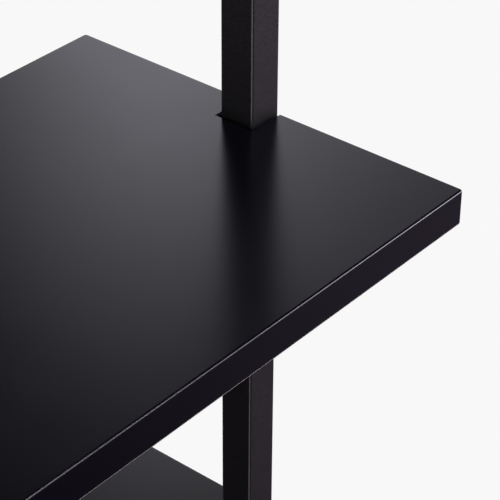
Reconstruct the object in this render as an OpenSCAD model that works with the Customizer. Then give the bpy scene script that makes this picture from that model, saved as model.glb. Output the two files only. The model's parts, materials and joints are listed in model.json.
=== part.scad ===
// Coffee table with a lifting top.
// The top board slides up two square end posts on gas springs. A hand lever under its front
// edge releases them through two cables. A second board is fixed near the floor.
// The length runs along X, the front faces -Y and +Z is up. The origin is on the floor,
// under the middle of the table. Sizes are in millimetres, with the top at its lowest.

/* [Boards] */
// Length of the top and of the lower shelf
top_l = 1000; // [900:10:1300]
// Depth of both boards, from front to back
top_d = 382; // [360:2:460]
// Thickness of both boards
board_t = 30; // [24:1:32]
// Height from the lower shelf's surface up to the top's surface
level_gap = 410; // [400:5:450]
// Gap around each post in the top board's notch
top_notch_gap = 1.5; // [1:0.1:2.5]
// Gap around each post in the lower shelf's notch
shelf_notch_gap = 0.4; // [0.2:0.1:1]

/* [Frame] */
// Width of the square tube of the posts, foot bars and base beam
tube_w = 32; // [30:1:32]
// Wall of that tube
tube_wall = 2; // [1.5:0.5:2]
// Radius of the tube's outer corners
tube_r = 2; // [1:0.5:2.5]
// Width of the square tube of the frame under the top
rail_w = 20; // [20:1:24]
// Wall of that tube
rail_wall = 1.5; // [1.5:0.5:2]
// Height of the foot bars above the floor
bar_z = 10; // [10:1:14]

/* [Lift] */
// How far the top rises
lift = 240; // [200:10:240]
// Height of each carriage that runs on a post
sleeve_h = 120; // [120:2:130]
// Running clearance of the glide liners on the posts
liner_gap = 0.05; // [0.03:0.01:0.1]
// Radius of the gas spring's rod
rod_r = 4; // [3:0.5:4]
// Outer radius of the gas spring's cylinder
cylinder_r = 9; // [8.5:0.5:10]

/* [Release] */
// Reach of the hand lever from its shaft
lever_reach = 78; // [60:1:78]
// Radius at which the cables pull on the hand lever's crank
lever_crank_r = 12; // [11:0.5:12]
// Outer radius of a release cable
cable_r = 2; // [1.5:0.25:2]

/* [Hidden] */
$fn = 48;

LEFT = -1;
RIGHT = 1;
FRONT = -1;
BACK = 1;

// heights
shelf_z = bar_z + tube_w;
shelf_top_z = shelf_z + board_t;
top_z = shelf_top_z + level_gap;
under_z = top_z - board_t;
cap_t = 3;
post_top_z = top_z + lift - cap_t;
sleeve_z = under_z - sleeve_h;

// posts
post_x = (top_l - tube_w) / 2;
post_cavity = tube_w - 2 * tube_wall;
slot_w = 8;

// plastic caps of the posts and foot bars, with their hollow stems
cap_fit = 0.2;
stem_wall = 2;
stem_r = 1;
post_stem_l = 12;
bar_stem_l = 10;

// foot bars
bar_l = top_d - 16;
bar_cap_t = 2;
foot_y = bar_l / 2 - 20;

// levelling feet
rest_gap = 0.3;
pad_r = 14;
pad_top_r = 10;
pad_t = 5;
pad_rim_t = 3;
stud_r = 4;
stud_l = 29;
stud_hex_r = 7.5;
stud_hole_r = 5;
foot_nut_r = 8;
foot_nut_t = 8;

// carriage and its liners
liner_t = 2;
liner_h = 20;
sleeve_wall = 2;
liner_in = tube_w + 2 * liner_gap;
sleeve_in = liner_in + 2 * liner_t;
sleeve_out = sleeve_in + 2 * sleeve_wall;

// frame under the top
arm_x = post_x - sleeve_out / 2 - rail_w / 2;
arm_l = 300;
rail_y = 120;
rail_l = 2 * arm_x - rail_w;
rail_z = under_z - rail_w;
rail_r = 1.5;

// the gas spring stands in the post, its rod upwards
seat_h = 14;
seat_gap = 0.1;
seat_bolt_r = 3;
seat_bolt_grip = 5;
seat_head_r = 5;
seat_driver_r = 7;
stud_depth = 8;
cylinder_z = shelf_z + seat_h;
cylinder_top_z = sleeve_z + 15;
cylinder_wall = 1.5;
cylinder_base_t = 6;
gland_t = 10;
shaft_gap = 0.05;
piston_t = 10;
piston_z = cylinder_top_z - gland_t - lift - piston_t - 2;

// the head that joins the rod to the carriage, and the crank in it
head_z = sleeve_z + 20;
head_h = 27;
head_top_z = head_z + head_h;
head_bolt_tip_y = 4.5;
spacer_gap = 0.4;
rod_grip = 7;
release_pin_r = 1.5;
release_pin_bore = 1.8;
release_pin_out = 2.5;
fork_t = 4;
fork_w = 9;
fork_h = 15;
head_x = 9.5;
head_y = 10.5;
head_bolt_z = [head_z + 7, head_z + 19];
crank_y = 7;
crank_z = head_top_z + 10;
crank_t = 5;
crank_pin_r = 2;
crank_hub_r = 4.5;
crank_nose_r = 2;
crank_nose_z = head_top_z + 7;
crank_nose_h = 5;
crank_arm_h = 4;
crank_eye_r = 4;
crank_eye_h = 6;
crank_slot_r = 2;
cable_y = 29;
ferrule_z = crank_z + 11;
cable_shelf_w = 14;
cable_shelf_t = 3;
slot_z = head_z - 4;
slot_top_z = crank_z + lift + 12;

// the split collar clamped on the post, and the bumper on it where the carriage comes to rest
collar_h = 12;
collar_out = 42;
lug_w = 16;
lug_l = 11;
split_w = 1.6;
bumper_t = 3;
bumper_out = 40;
bumper_in = tube_w + 0.4;
bumper_z = sleeve_z - rest_gap - bumper_t;

// hand lever
lever_y = -147;
lever_z = under_z - 19;
lever_shaft_r = 4;
bracket_t = 3;
ear_t = 3;
ear_y = 9.5;
ear_w = 20;
ear_h = 25;
tab_x = 30;
tab_w = 14;
tab_h = 31;
washer_r = 6.5;
washer_t = 2;
lever_crank_t = 4;
lever_hub_r = 8;
lever_eye_r = 3.5;
handle_t = 4;
handle_y = -170;
handle_w = 20;
handle_hub_r = 7.5;
spring_r = 6.8;
spring_in_r = 4.8;
spring_y = lever_y + 2.5;

// cables
wire_r = 0.6;
ferrule_r = 2.5;
ferrule_l = 10;
wire_stop_r = 2.6;
clip_x = [240, 280];
clip_z = under_z - 8;
clip_w = 12;
clip_wall = 4;

// screws and bolts: a cut runs on past the surface it opens, and a hole is a little wider than its screw
cut = 1;
hole_gap = 0.2;
screw_gap = 0.3;
bolt_r = 2.5;
bolt_head_r = 4.25;
bolt_head_t = 4;
screw_r = 2.25;
screw_head_r = 4.5;
screw_head_t = 3;
screw_tip_r = 0.5;
screw_tip_l = 4;
screw_l = 22;
thin_screw_l = 20;
bracket_screw_l = 16;
access_r = 5.5;
shelf_screw_y = [-110, -60, 60, 110];
beam_screw_x = [-330, -110, 110, 330];
arm_screw_y = [-70, 70];
rail_screw_x = [-360, -150, 150, 360];
bracket_screw_x = [-20, 20];

// ---------- helpers ----------

// Makes its children at the right end, or mirrored at the left end.
module at_side(side) {
    if (side == LEFT) mirror([1, 0, 0]) children();
    else children();
}

module rounded_square(w, r) {
    square([w, w - 2 * r], center = true);
    square([w - 2 * r, w], center = true);
    for (x = [-1, 1], y = [-1, 1])
        translate([x * (w / 2 - r), y * (w / 2 - r)])
            circle(r = r, $fn = 32);
}

// A square tube standing on its end, centred on the Z axis.
module tube(w, wall, r, length) {
    linear_extrude(length)
        difference() {
            rounded_square(w, r);
            square(w - 2 * wall, center = true);
        }
}

module tube_along_x(w, wall, r, length) {
    translate([-length / 2, 0, w / 2])
        rotate([0, 90, 0])
            tube(w, wall, r, length);
}

module tube_along_y(w, wall, r, length) {
    translate([0, length / 2, w / 2])
        rotate([90, 0, 0])
            tube(w, wall, r, length);
}

module square_ring(outer, inner, height) {
    difference() {
        translate([-outer / 2, -outer / 2, 0]) cube([outer, outer, height]);
        translate([-inner / 2, -inner / 2, -cut]) cube([inner, inner, height + 2 * cut]);
    }
}

// A board with a notch for a post in the middle of each end.
module board(gap) {
    notch = tube_w + gap;
    difference() {
        translate([-top_l / 2, -top_d / 2, 0]) cube([top_l, top_d, board_t]);
        for (side = [LEFT, RIGHT])
            at_side(side)
                translate([top_l / 2 - notch, -tube_w / 2 - gap, -cut])
                    cube([notch + cut, tube_w + 2 * gap, board_t + 2 * cut]);
    }
}

// A wood screw with its head at z = 0 and below, and its point upwards.
module wood_screw(length) {
    translate([0, 0, -screw_head_t]) cylinder(r = screw_head_r, h = screw_head_t);
    cylinder(r = screw_r, h = length - screw_tip_l);
    translate([0, 0, length - screw_tip_l]) cylinder(r1 = screw_r, r2 = screw_tip_r, h = screw_tip_l);
}

// A round hole upwards through a wall that starts at z = 0.
module wall_hole(r, wall) {
    translate([0, 0, -cut]) cylinder(r = r, h = wall + 2 * cut);
}

// The hole for such a screw through the upper wall of a tube, and for the driver below.
module screw_access(wall, w) {
    wall_hole(access_r, wall);
    translate([0, 0, w - wall]) wall_hole(screw_r + screw_gap, wall);
}

// ---------- base ----------

module post(side) {
    color("#141316")
    at_side(side)
        difference() {
            translate([post_x, 0, shelf_z])
                tube(tube_w, tube_wall, tube_r, post_top_z - shelf_z);
            translate([post_x - slot_w / 2, tube_w / 2 - tube_wall - cut, slot_z])
                cube([slot_w, tube_wall + 2 * cut, slot_top_z - slot_z]);
        }
}

module cap_stem(length) {
    tube(post_cavity - cap_fit, stem_wall, stem_r, length);
}

module post_cap(side) {
    color("#101012")
    at_side(side)
        translate([post_x, 0, post_top_z]) {
            linear_extrude(cap_t) rounded_square(tube_w, tube_r);
            translate([0, 0, -post_stem_l]) cap_stem(post_stem_l);
        }
}

module foot_bar(side) {
    color("#141316")
    at_side(side)
        difference() {
            translate([post_x, 0, bar_z]) tube_along_y(tube_w, tube_wall, tube_r, bar_l);
            for (y = [-foot_y, foot_y])
                translate([post_x, y, bar_z]) wall_hole(stud_hole_r, tube_wall);
            for (y = shelf_screw_y)
                translate([post_x, y, bar_z]) screw_access(tube_wall, tube_w);
            translate([post_x, 0, bar_z]) wall_hole(seat_driver_r, tube_wall);
            translate([post_x, 0, shelf_z - tube_wall]) wall_hole(seat_bolt_r + hole_gap, tube_wall);
        }
}

module foot_bar_caps() {
    color("#101012")
    for (side = [LEFT, RIGHT], end = [FRONT, BACK])
        translate([side * post_x, end * bar_l / 2, bar_z + tube_w / 2])
            rotate([-90 * end, 0, 0]) {
                linear_extrude(bar_cap_t) rounded_square(tube_w, tube_r);
                translate([0, 0, -bar_stem_l]) cap_stem(bar_stem_l);
            }
}

module base_beam() {
    beam_l = 2 * post_x - tube_w;
    color("#141316")
    difference() {
        translate([0, 0, bar_z]) tube_along_x(tube_w, tube_wall, tube_r, beam_l);
        for (x = beam_screw_x)
            translate([x, 0, bar_z]) screw_access(tube_wall, tube_w);
    }
}

module lower_shelf() {
    color("#17161a")
    translate([0, 0, shelf_z]) board(shelf_notch_gap);
}

module shelf_screws() {
    color("#8d8f94") {
        for (side = [LEFT, RIGHT], y = shelf_screw_y)
            translate([side * post_x, y, shelf_z - tube_wall]) wood_screw(screw_l);
        for (x = beam_screw_x)
            translate([x, 0, shelf_z - tube_wall]) wood_screw(screw_l);
    }
}

module cylinder_seat(side) {
    seat_w = post_cavity - 2 * seat_gap;
    color("#77797e")
    at_side(side)
        translate([post_x, 0, shelf_z])
            difference() {
                translate([-seat_w / 2, -seat_w / 2, 0]) cube([seat_w, seat_w, seat_h]);
                translate([0, 0, seat_h - stud_depth]) cylinder(r = rod_r, h = stud_depth + cut);
                translate([0, 0, -cut]) cylinder(r = seat_bolt_r, h = seat_bolt_grip + cut);
            }
}

module seat_bolts() {
    color("#8d8f94")
    for (side = [LEFT, RIGHT])
        translate([side * post_x, 0, shelf_z - tube_wall]) {
            translate([0, 0, -bolt_head_t]) cylinder(r = seat_head_r, h = bolt_head_t);
            cylinder(r = seat_bolt_r, h = tube_wall + seat_bolt_grip);
        }
}

module gas_cylinder(side) {
    bore_r = cylinder_r - cylinder_wall;
    length = cylinder_top_z - cylinder_z;
    color("#202226")
    at_side(side)
        translate([post_x, 0, cylinder_z])
            difference() {
                union() {
                    cylinder(r = cylinder_r, h = length);
                    translate([0, 0, -stud_depth]) cylinder(r = rod_r, h = stud_depth + cut);
                }
                translate([0, 0, cylinder_base_t])
                    cylinder(r = bore_r, h = length - cylinder_base_t - gland_t);
                translate([0, 0, length - gland_t]) wall_hole(rod_r + shaft_gap, gland_t);
            }
}

module stop_collar(side) {
    color("#1d1d20")
    at_side(side)
        translate([post_x, 0, bumper_z - collar_h])
            difference() {
                union() {
                    square_ring(collar_out, tube_w, collar_h);
                    translate([-lug_w / 2, collar_out / 2 - cut, 0])
                        cube([lug_w, lug_l + cut, collar_h]);
                }
                translate([-split_w / 2, tube_w / 2 - cut, -cut])
                    cube([split_w, collar_out, collar_h + 2 * cut]);
                translate([-lug_w, collar_out / 2 + lug_l / 2, collar_h / 2])
                    rotate([0, 90, 0]) cylinder(r = bolt_r + hole_gap / 2, h = 2 * lug_w);
            }
}

module collar_screws() {
    color("#8d8f94")
    for (side = [LEFT, RIGHT])
        translate([side * post_x - lug_w / 2, collar_out / 2 + lug_l / 2, bumper_z - collar_h / 2])
            rotate([0, 90, 0]) {
                cylinder(r = bolt_r, h = lug_w + 2);
                translate([0, 0, -bolt_head_t]) cylinder(r = bolt_head_r, h = bolt_head_t);
            }
}

module bumper(side) {
    color("#1a1a1a")
    at_side(side)
        translate([post_x, 0, bumper_z]) square_ring(bumper_out, bumper_in, bumper_t);
}

module foot_nuts() {
    color("#8d8f94")
    for (side = [LEFT, RIGHT], end = [FRONT, BACK])
        translate([side * post_x, end * foot_y, bar_z + tube_wall])
            difference() {
                cylinder(r = foot_nut_r, h = foot_nut_t);
                wall_hole(stud_r + shaft_gap, foot_nut_t);
            }
}

// ---------- levelling feet ----------

module foot_pad(side, end) {
    color("#1a1a1a")
    translate([side * post_x, end * foot_y, 0]) {
        cylinder(r = pad_r, h = pad_rim_t);
        translate([0, 0, pad_rim_t]) cylinder(r1 = pad_r, r2 = pad_top_r, h = pad_t - pad_rim_t);
    }
}

module foot_stud(side, end) {
    hex_t = bar_z - pad_t - rest_gap;
    color("#8d8f94")
    translate([side * post_x, end * foot_y, pad_t]) {
        cylinder(r = stud_hex_r, h = hex_t, $fn = 6);
        cylinder(r = stud_r, h = stud_l);
    }
}

// ---------- lifting top ----------

module top_board() {
    color("#17161a")
    translate([0, 0, under_z]) board(top_notch_gap);
}

module top_arm(side) {
    color("#141316")
    at_side(side)
        difference() {
            translate([arm_x, 0, rail_z]) tube_along_y(rail_w, rail_wall, rail_r, arm_l);
            for (y = arm_screw_y)
                translate([arm_x, y, rail_z]) screw_access(rail_wall, rail_w);
        }
}

module rail(end) {
    color("#141316")
    difference() {
        translate([0, end * rail_y, rail_z]) tube_along_x(rail_w, rail_wall, rail_r, rail_l);
        for (x = rail_screw_x)
            translate([x, end * rail_y, rail_z]) screw_access(rail_wall, rail_w);
    }
}

module board_screws() {
    color("#8d8f94") {
        for (side = [LEFT, RIGHT], y = arm_screw_y)
            translate([side * arm_x, y, under_z - rail_wall]) wood_screw(thin_screw_l);
        for (end = [FRONT, BACK], x = rail_screw_x)
            translate([x, end * rail_y, under_z - rail_wall]) wood_screw(thin_screw_l);
    }
}

// A sleeve round the post, open at the back for the release crank, with a cable stop.
module carriage(side) {
    color("#141316")
    at_side(side)
        difference() {
            union() {
                translate([post_x, 0, sleeve_z]) square_ring(sleeve_out, sleeve_in, sleeve_h);
                translate([post_x - cable_shelf_w / 2, sleeve_out / 2 - cut, ferrule_z])
                    cube([cable_shelf_w, cable_y - sleeve_out / 2 + 7, cable_shelf_t]);
            }
            translate([post_x - crank_t, sleeve_in / 2 - cut, crank_z - 8])
                cube([2 * crank_t, sleeve_wall + 2 * cut, 18]);
            for (z = head_bolt_z)
                translate([post_x, sleeve_in / 2, z])
                    rotate([-90, 0, 0]) wall_hole(bolt_r + hole_gap, sleeve_wall);
            translate([post_x, cable_y, ferrule_z]) wall_hole(ferrule_r, cable_shelf_t);
        }
}

module liner(side, z) {
    color("#e4e2da")
    at_side(side)
        translate([post_x, 0, z]) square_ring(sleeve_in, liner_in, liner_h);
}

module gas_rod(side) {
    color("#c9cbd0")
    at_side(side)
        translate([post_x, 0, 0]) {
            translate([0, 0, piston_z])
                cylinder(r = cylinder_r - cylinder_wall - shaft_gap, h = piston_t);
            translate([0, 0, piston_z]) cylinder(r = rod_r, h = head_z + rod_grip - piston_z);
            translate([0, 0, head_z]) cylinder(r = release_pin_r, h = head_h + release_pin_out);
        }
}

module spring_head(side) {
    fork_in = crank_t / 2 + rest_gap;
    color("#3a3c41")
    at_side(side)
        translate([post_x, 0, 0])
            difference() {
                union() {
                    translate([-head_x, -head_y, head_z]) cube([2 * head_x, 2 * head_y, head_h]);
                    for (x = [-fork_in - fork_t, fork_in])
                        translate([x, crank_y - fork_w / 2, head_top_z - cut])
                            cube([fork_t, fork_w, fork_h + cut]);
                }
                translate([0, 0, head_z - cut]) cylinder(r = rod_r, h = rod_grip + cut);
                translate([0, 0, head_z]) cylinder(r = release_pin_bore, h = head_h + cut);
                for (z = head_bolt_z)
                    translate([0, head_bolt_tip_y, z])
                        rotate([-90, 0, 0]) cylinder(r = bolt_r, h = head_y);
                translate([-head_x, crank_y, crank_z])
                    rotate([0, 90, 0]) cylinder(r = crank_pin_r, h = 2 * head_x);
            }
}

// Bolts through the carriage's back wall and the post's slot, each with its spacer.
module head_bolts() {
    spacer_r = slot_w / 2 - spacer_gap;
    color("#8d8f94")
    for (side = [LEFT, RIGHT], z = head_bolt_z)
        translate([side * post_x, 0, z])
            rotate([-90, 0, 0]) {
                translate([0, 0, head_bolt_tip_y])
                    cylinder(r = bolt_r, h = sleeve_out / 2 - head_bolt_tip_y);
                translate([0, 0, sleeve_out / 2]) cylinder(r = bolt_head_r, h = bolt_head_t);
                translate([0, 0, head_y]) cylinder(r = spacer_r, h = sleeve_in / 2 - head_y);
            }
}

module crank_pins() {
    pin_l = crank_t + 2 * (rest_gap + fork_t) + 1;
    color("#8d8f94")
    for (side = [LEFT, RIGHT])
        translate([side * post_x - pin_l / 2, crank_y, crank_z])
            rotate([0, 90, 0]) cylinder(r = crank_pin_r, h = pin_l);
}

// ---------- release ----------

// The height at which a side's cable meets the hand lever's crank.
function lever_end_z(side) = lever_z - side * lever_crank_r;

// The crank turns on its pin in the head: the cable lifts its outer end, and its nose
// presses the gas spring's release pin.
module release_crank(side) {
    color("#5b5d63")
    at_side(side)
        translate([post_x, 0, 0])
            difference() {
                union() {
                    translate([-crank_t / 2, crank_y, crank_z])
                        rotate([0, 90, 0]) cylinder(r = crank_hub_r, h = crank_t);
                    translate([-crank_t / 2, 0, crank_nose_z]) cube([crank_t, crank_y, crank_nose_h]);
                    translate([-crank_t / 2, 0, crank_nose_z])
                        rotate([0, 90, 0]) cylinder(r = crank_nose_r, h = crank_t);
                    translate([-crank_t / 2, crank_y, crank_z - crank_arm_h / 2])
                        cube([crank_t, cable_y - crank_y, crank_arm_h]);
                    translate([0, cable_y, crank_z - crank_eye_h / 2])
                        cylinder(r = crank_eye_r, h = crank_eye_h);
                }
                translate([-crank_t, crank_y, crank_z])
                    rotate([0, 90, 0]) cylinder(r = crank_pin_r + shaft_gap, h = 2 * crank_t);
                translate([0, cable_y, crank_z - crank_eye_h / 2]) wall_hole(crank_slot_r, crank_eye_h);
            }
}

module lever_bracket() {
    plate_w = 2 * tab_x + ear_t;
    plate_z = under_z - bracket_t;
    color("#5b5d63")
    difference() {
        translate([0, lever_y, 0]) {
            translate([-plate_w / 2, -ear_y - ear_t, plate_z])
                cube([plate_w, 2 * (ear_y + ear_t), bracket_t]);
            for (y = [-ear_y - ear_t, ear_y])
                translate([-ear_w / 2, y, plate_z - ear_h + cut]) cube([ear_w, ear_t, ear_h]);
            for (side = [LEFT, RIGHT])
                translate([side * tab_x - ear_t / 2, -tab_w / 2, plate_z - tab_h])
                    cube([ear_t, tab_w, tab_h + cut]);
        }
        translate([0, lever_y - ear_w, lever_z])
            rotate([-90, 0, 0]) cylinder(r = lever_shaft_r + shaft_gap, h = 2 * ear_w);
        for (side = [LEFT, RIGHT])
            translate([side * tab_x - ear_t, lever_y, lever_end_z(side)])
                rotate([0, 90, 0]) cylinder(r = ferrule_r, h = 2 * ear_t);
        for (x = bracket_screw_x)
            translate([x, lever_y, plate_z]) wall_hole(screw_r + screw_gap, bracket_t);
    }
}

module bracket_screws() {
    color("#8d8f94")
    for (x = bracket_screw_x)
        translate([x, lever_y, under_z - bracket_t]) wood_screw(bracket_screw_l);
}

module lever_shaft() {
    back = ear_y + ear_t;
    front_y = handle_y - handle_w / 2;
    color("#8d8f94")
    translate([0, front_y, lever_z])
        rotate([-90, 0, 0]) {
            cylinder(r = lever_shaft_r, h = lever_y + back + washer_t + cut - front_y);
            translate([0, 0, lever_y + back + rest_gap - front_y]) cylinder(r = washer_r, h = washer_t);
        }
}

module lever_crank() {
    eye_r = lever_eye_r;
    color("#5b5d63")
    translate([0, lever_y - lever_crank_t / 2, lever_z])
        rotate([-90, 0, 0])
            difference() {
                union() {
                    cylinder(r = lever_hub_r, h = lever_crank_t);
                    for (y = [-lever_crank_r, lever_crank_r])
                        translate([0, y, 0]) cylinder(r = eye_r, h = lever_crank_t);
                    translate([-eye_r, -lever_crank_r, 0])
                        cube([2 * eye_r, 2 * lever_crank_r, lever_crank_t]);
                }
                wall_hole(lever_shaft_r, lever_crank_t);
            }
}

module lever_handle() {
    grip_r = handle_w / 2;
    color("#141316")
    translate([0, handle_y - handle_w / 2, lever_z])
        difference() {
            union() {
                rotate([-90, 0, 0]) cylinder(r = handle_hub_r, h = handle_w);
                translate([-lever_reach + grip_r, 0, -handle_t / 2])
                    cube([lever_reach - grip_r, handle_w, handle_t]);
                translate([-lever_reach + grip_r, grip_r, -handle_t / 2])
                    cylinder(r = grip_r, h = handle_t);
            }
            rotate([-90, 0, 0]) wall_hole(lever_shaft_r, handle_w);
        }
}

// The wound part of the lever's return spring, between its crank and the rear ear.
module lever_spring() {
    length = lever_y + ear_y - rest_gap - spring_y;
    color("#8d8f94")
    translate([0, spring_y, lever_z])
        rotate([-90, 0, 0])
            difference() {
                cylinder(r = spring_r, h = length);
                wall_hole(spring_in_r, length);
            }
}

// ---------- cables ----------

// Points of a cable's route on the right, from the carriage's cable stop to the lever.
// The points before and after the ends only set its direction there.
function route(lever_end_z) = [
    [post_x, cable_y, ferrule_z - 8],
    [post_x, cable_y, ferrule_z + 10],
    [post_x - 3, cable_y, ferrule_z + 19],
    [post_x - 14, cable_y, ferrule_z + 27],
    [post_x - 40, cable_y - 1, ferrule_z + 27],
    [post_x - 66, cable_y - 14, ferrule_z + 27],
    [post_x - 82, cable_y - 50, ferrule_z + 27],
    [post_x - 92, -90, ferrule_z + 27],
    [post_x - 102, -118, ferrule_z + 26],
    [post_x - 118, -137, ferrule_z + 30],
    [post_x - 142, -145, clip_z - 4],
    [320, lever_y, clip_z],
    [290, lever_y, clip_z],
    [230, lever_y, clip_z],
    [190, lever_y, clip_z],
    [140, lever_y, (2 * clip_z + lever_end_z) / 3],
    [90, lever_y, (clip_z + 4 * lever_end_z) / 5],
    [tab_x + 11, lever_y, lever_end_z],
    [tab_x - 10, lever_y, lever_end_z]
];

// A point between b and c on the smooth curve through a, b, c and d.
function curve_point(a, b, c, d, t) =
    0.5 * (2 * b + (c - a) * t + (2 * a - 5 * b + 4 * c - d) * t * t
        + (3 * b - a - 3 * c + d) * t * t * t);

function smooth(p, steps) = [
    for (i = [1 : len(p) - 3], k = [0 : steps - 1])
        curve_point(p[i - 1], p[i], p[i + 1], p[i + 2], k / steps),
    p[len(p) - 2]
];

function unit(v) = v / norm(v);

// A round tube of the given radius along the points p, swept with rings of n sides.
module sweep(p, r, n = 8) {
    last = len(p) - 1;
    lean = [1, -1, 1];
    rings = [
        for (i = [0 : last])
            let (along = unit(p[min(i + 1, last)] - p[max(i - 1, 0)]),
                 across = unit(cross(along, lean)),
                 up = cross(along, across))
            for (k = [0 : n - 1])
                p[i] + r * (cos(360 * k / n) * across + sin(360 * k / n) * up)
    ];
    sides = [
        for (i = [0 : last - 1], k = [0 : n - 1])
            [i * n + k, i * n + (k + 1) % n, (i + 1) * n + (k + 1) % n, (i + 1) * n + k]
    ];
    start = [for (k = [n - 1 : -1 : 0]) k];
    end = [for (k = [0 : n - 1]) last * n + k];
    polyhedron(points = rings, faces = concat([start], sides, [end]), convexity = 6);
}

module cable(side) {
    color("#111112")
    at_side(side) sweep(smooth(route(lever_end_z(side)), 4), cable_r);
}

// The ferrules at both ends of each cable, and the wire that runs on from them.
module cable_ends() {
    stop_z = crank_z - 8;
    color("#8d8f94")
    for (side = [LEFT, RIGHT])
        at_side(side) {
            translate([post_x, cable_y, ferrule_z]) cylinder(r = ferrule_r, h = ferrule_l);
            translate([post_x, cable_y, stop_z]) cylinder(r = wire_r, h = ferrule_z - stop_z + 2);
            translate([post_x, cable_y, stop_z]) cylinder(r = wire_stop_r, h = 4.7);
            translate([tab_x - 1.5, lever_y, lever_end_z(side)])
                rotate([0, 90, 0]) cylinder(r = ferrule_r, h = ferrule_l + 2.5);
            translate([3.9, lever_y, lever_end_z(side)])
                rotate([0, 90, 0]) cylinder(r = wire_r, h = tab_x);
        }
}

module cable_clips() {
    color("#111112")
    for (side = [LEFT, RIGHT], x = clip_x)
        translate([side * x - clip_w / 2, lever_y, 0])
            difference() {
                translate([0, -clip_w / 2, clip_z - clip_wall])
                    cube([clip_w, clip_w, under_z - clip_z + clip_wall]);
                translate([0, 0, clip_z]) rotate([0, 90, 0]) wall_hole(cable_r + screw_gap, clip_w);
            }
}

// ---------- nodes ----------

post(LEFT);  // post_left
post(RIGHT);  // post_right
post_cap(LEFT);  // post_cap_left
post_cap(RIGHT);  // post_cap_right
foot_bar(LEFT);  // foot_bar_left
foot_bar(RIGHT);  // foot_bar_right
foot_bar_caps();
base_beam();
lower_shelf();
shelf_screws();
cylinder_seat(LEFT);  // cylinder_seat_left
cylinder_seat(RIGHT);  // cylinder_seat_right
seat_bolts();
gas_cylinder(LEFT);  // gas_cylinder_left
gas_cylinder(RIGHT);  // gas_cylinder_right
stop_collar(LEFT);  // stop_collar_left
stop_collar(RIGHT);  // stop_collar_right
collar_screws();
bumper(LEFT);  // bumper_left
bumper(RIGHT);  // bumper_right
foot_nuts();
foot_stud(LEFT, FRONT);  // foot_stud_front_left
foot_stud(RIGHT, FRONT);  // foot_stud_front_right
foot_stud(LEFT, BACK);  // foot_stud_back_left
foot_stud(RIGHT, BACK);  // foot_stud_back_right
foot_pad(LEFT, FRONT);  // foot_pad_front_left
foot_pad(RIGHT, FRONT);  // foot_pad_front_right
foot_pad(LEFT, BACK);  // foot_pad_back_left
foot_pad(RIGHT, BACK);  // foot_pad_back_right
top_board();
top_arm(LEFT);  // top_arm_left
top_arm(RIGHT);  // top_arm_right
rail(FRONT);  // rail_front
rail(BACK);  // rail_back
board_screws();
carriage(LEFT);  // carriage_left
carriage(RIGHT);  // carriage_right
liner(LEFT, under_z - liner_h);  // liner_upper_left
liner(RIGHT, under_z - liner_h);  // liner_upper_right
liner(LEFT, sleeve_z);  // liner_lower_left
liner(RIGHT, sleeve_z);  // liner_lower_right
gas_rod(LEFT);  // gas_rod_left
gas_rod(RIGHT);  // gas_rod_right
spring_head(LEFT);  // spring_head_left
spring_head(RIGHT);  // spring_head_right
head_bolts();
crank_pins();
release_crank(LEFT);  // release_crank_left
release_crank(RIGHT);  // release_crank_right
lever_bracket();
bracket_screws();
lever_shaft();
lever_crank();
lever_handle();
lever_spring();
cable(LEFT);  // cable_left
cable(RIGHT);  // cable_right
cable_ends();
cable_clips();
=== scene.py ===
"""Looks of a black coffee table whose top board slides up two square end posts."""
import json
import math

import bmesh
import bpy
from mathutils import Matrix, Vector


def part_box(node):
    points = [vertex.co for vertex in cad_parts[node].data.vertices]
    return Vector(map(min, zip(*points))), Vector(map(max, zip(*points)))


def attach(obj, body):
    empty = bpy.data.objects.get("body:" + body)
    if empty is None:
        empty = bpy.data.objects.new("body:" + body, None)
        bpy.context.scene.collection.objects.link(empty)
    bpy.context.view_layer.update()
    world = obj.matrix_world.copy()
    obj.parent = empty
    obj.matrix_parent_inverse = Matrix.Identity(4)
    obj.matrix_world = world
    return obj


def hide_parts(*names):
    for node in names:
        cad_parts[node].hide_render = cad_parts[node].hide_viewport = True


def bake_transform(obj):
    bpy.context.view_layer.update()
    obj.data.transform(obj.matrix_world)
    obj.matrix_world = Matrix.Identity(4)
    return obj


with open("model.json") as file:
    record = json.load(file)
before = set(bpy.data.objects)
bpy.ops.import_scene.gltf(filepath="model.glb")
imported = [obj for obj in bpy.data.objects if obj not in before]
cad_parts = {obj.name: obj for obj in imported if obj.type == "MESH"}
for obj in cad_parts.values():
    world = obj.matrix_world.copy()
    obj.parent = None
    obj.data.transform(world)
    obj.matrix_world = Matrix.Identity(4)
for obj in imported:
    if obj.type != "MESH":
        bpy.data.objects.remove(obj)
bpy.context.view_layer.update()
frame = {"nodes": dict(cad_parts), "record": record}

MM = 0.001
LEFT, RIGHT = -1, 1
SIDES = {"left": LEFT, "right": RIGHT}

# ---------- camera ----------

# The camera's place is measured in post widths from the top board's front right corner, its angles in degrees
CAMERA_OFFSET = Vector((-33.006, -20.85, 24.07))
CAMERA_HEADING = 39.46
CAMERA_DOWN = 33.66
CAMERA_ROLL = 0.38
CAMERA_LENS = 143.2
CAMERA_SENSOR = 36
CAMERA_SHIFT = (-0.001, 0.001)
CAMERA_CLIP = (0.01, 100)


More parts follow.
